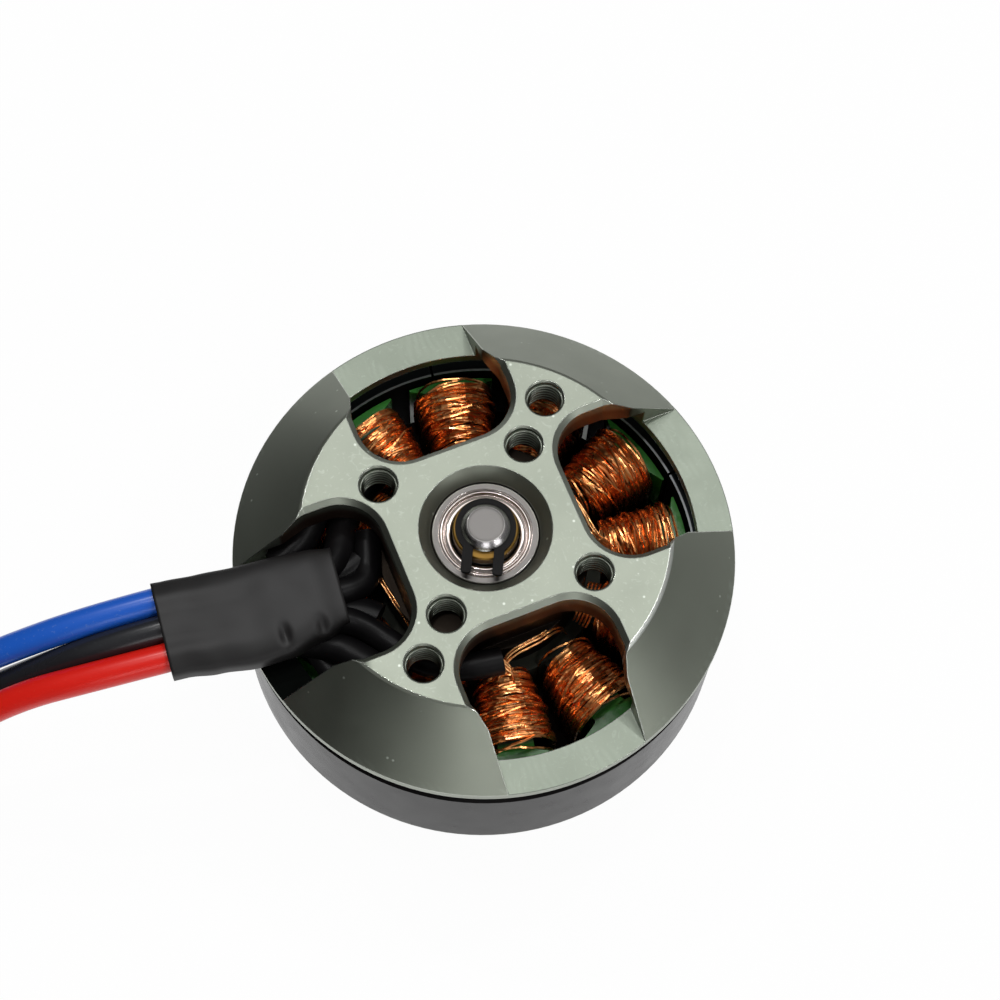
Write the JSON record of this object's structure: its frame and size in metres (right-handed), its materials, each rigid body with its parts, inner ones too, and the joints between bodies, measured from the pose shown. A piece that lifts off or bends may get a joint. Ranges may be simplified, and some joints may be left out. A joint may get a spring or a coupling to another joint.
{
  "type": "brushless outrunner motor",
  "caption": "Flat brushless outrunner motor: grey turned base with cooling windows, copper windings, dark rotor can with an open bell, and coloured leads from a heat-shrink sleeve.",
  "frame": {"origin": "centre of the propeller seat, on the shaft axis, at the base of the motor as it stands on that seat", "axes": "+Z along the shaft, out of the mounting face; the cooling windows of the base lie on the diagonals of X and Y, and the leads leave at about 219 degrees from +X"},
  "size_m": [0.096, 0.0854, 0.027],
  "materials": {
    "anodised_base": "light grey-green anodised, satin",
    "bearing_steel": "ground and polished",
    "cage_steel": "pressed sheet",
    "shield_steel": "pressed sheet, bright",
    "coated_laminations": "green epoxy coating over laminated steel",
    "enamelled_copper": "enamelled copper wire, glossy",
    "black_sleeving": "shrunk polyolefin, satin",
    "blue_silicone": "silicone, satin",
    "black_silicone": "silicone, satin",
    "red_silicone": "silicone, satin",
    "blue_sleeving": "shrunk polyolefin",
    "red_sleeving": "shrunk polyolefin",
    "gold_plate": "gold plated, polished",
    "blackened_can": "dark anodised or blackened, gloss",
    "magnet_nickel": "nickel plated",
    "anodised_bell": "dark anodised, satin",
    "black_steel": "black oxide",
    "shaft_steel": "ground",
    "shim_brass": "bare brass"
  },
  "bodies": {
    "stator": {"mounting_base": "anodised_base", "rear_bearing_outer_ring": "bearing_steel", "rear_bearing_shields": "shield_steel", "front_bearing_outer_ring": "bearing_steel", "front_bearing_shields": "shield_steel", "stator_core": "coated_laminations", "winding_phase_a": "enamelled_copper", "phase_sleeve_a": "black_sleeving", "winding_phase_b": "enamelled_copper", "phase_sleeve_b": "black_sleeving", "winding_phase_c": "enamelled_copper", "phase_sleeve_c": "black_sleeving", "crossover_wires": "enamelled_copper", "phase_tails": "enamelled_copper", "lead_heat_shrink": "black_sleeving", "star_joint_sleeve": "black_sleeving", "lead_blue": "blue_silicone", "connector_blue": "gold_plate", "connector_sleeve_blue": "blue_sleeving", "lead_black": "black_silicone", "connector_black": "gold_plate", "connector_sleeve_black": "black_sleeving", "lead_red": "red_silicone", "connector_red": "gold_plate", "connector_sleeve_red": "red_sleeving"},
    "rotor": {"bell": "anodised_bell", "flux_ring": "blackened_can", "magnets": "magnet_nickel", "shaft": "shaft_steel", "grub_screws": "black_steel", "front_spacer": "shaft_steel", "shaft_shim": "shim_brass", "retaining_ring": "black_steel", "rear_bearing_inner_ring": "bearing_steel", "front_bearing_inner_ring": "bearing_steel"},
    "rear_ball_set": {"rear_bearing_balls": "bearing_steel", "rear_bearing_cage": "cage_steel"},
    "front_ball_set": {"front_bearing_balls": "bearing_steel", "front_bearing_cage": "cage_steel"}
  },
  "joints": [
    {"name": "rotor_spin", "type": "hinge", "parent": "stator", "child": "rotor", "pos_m": [0, 0, 0.0127], "axis": [0, 0, 1], "continuous": true},
    {"name": "rear_ball_spin", "type": "hinge", "parent": "stator", "child": "rear_ball_set", "pos_m": [0, 0, 0.023], "axis": [0, 0, 1], "continuous": true},
    {"name": "front_ball_spin", "type": "hinge", "parent": "stator", "child": "front_ball_set", "pos_m": [0, 0, 0.00875], "axis": [0, 0, 1], "continuous": true}
  ],
  "couplings": [
    {"joint": "rear_ball_spin", "follows": "rotor_spin", "ratio": 0.3846},
    {"joint": "front_ball_spin", "follows": "rotor_spin", "ratio": 0.3846}
  ]
}
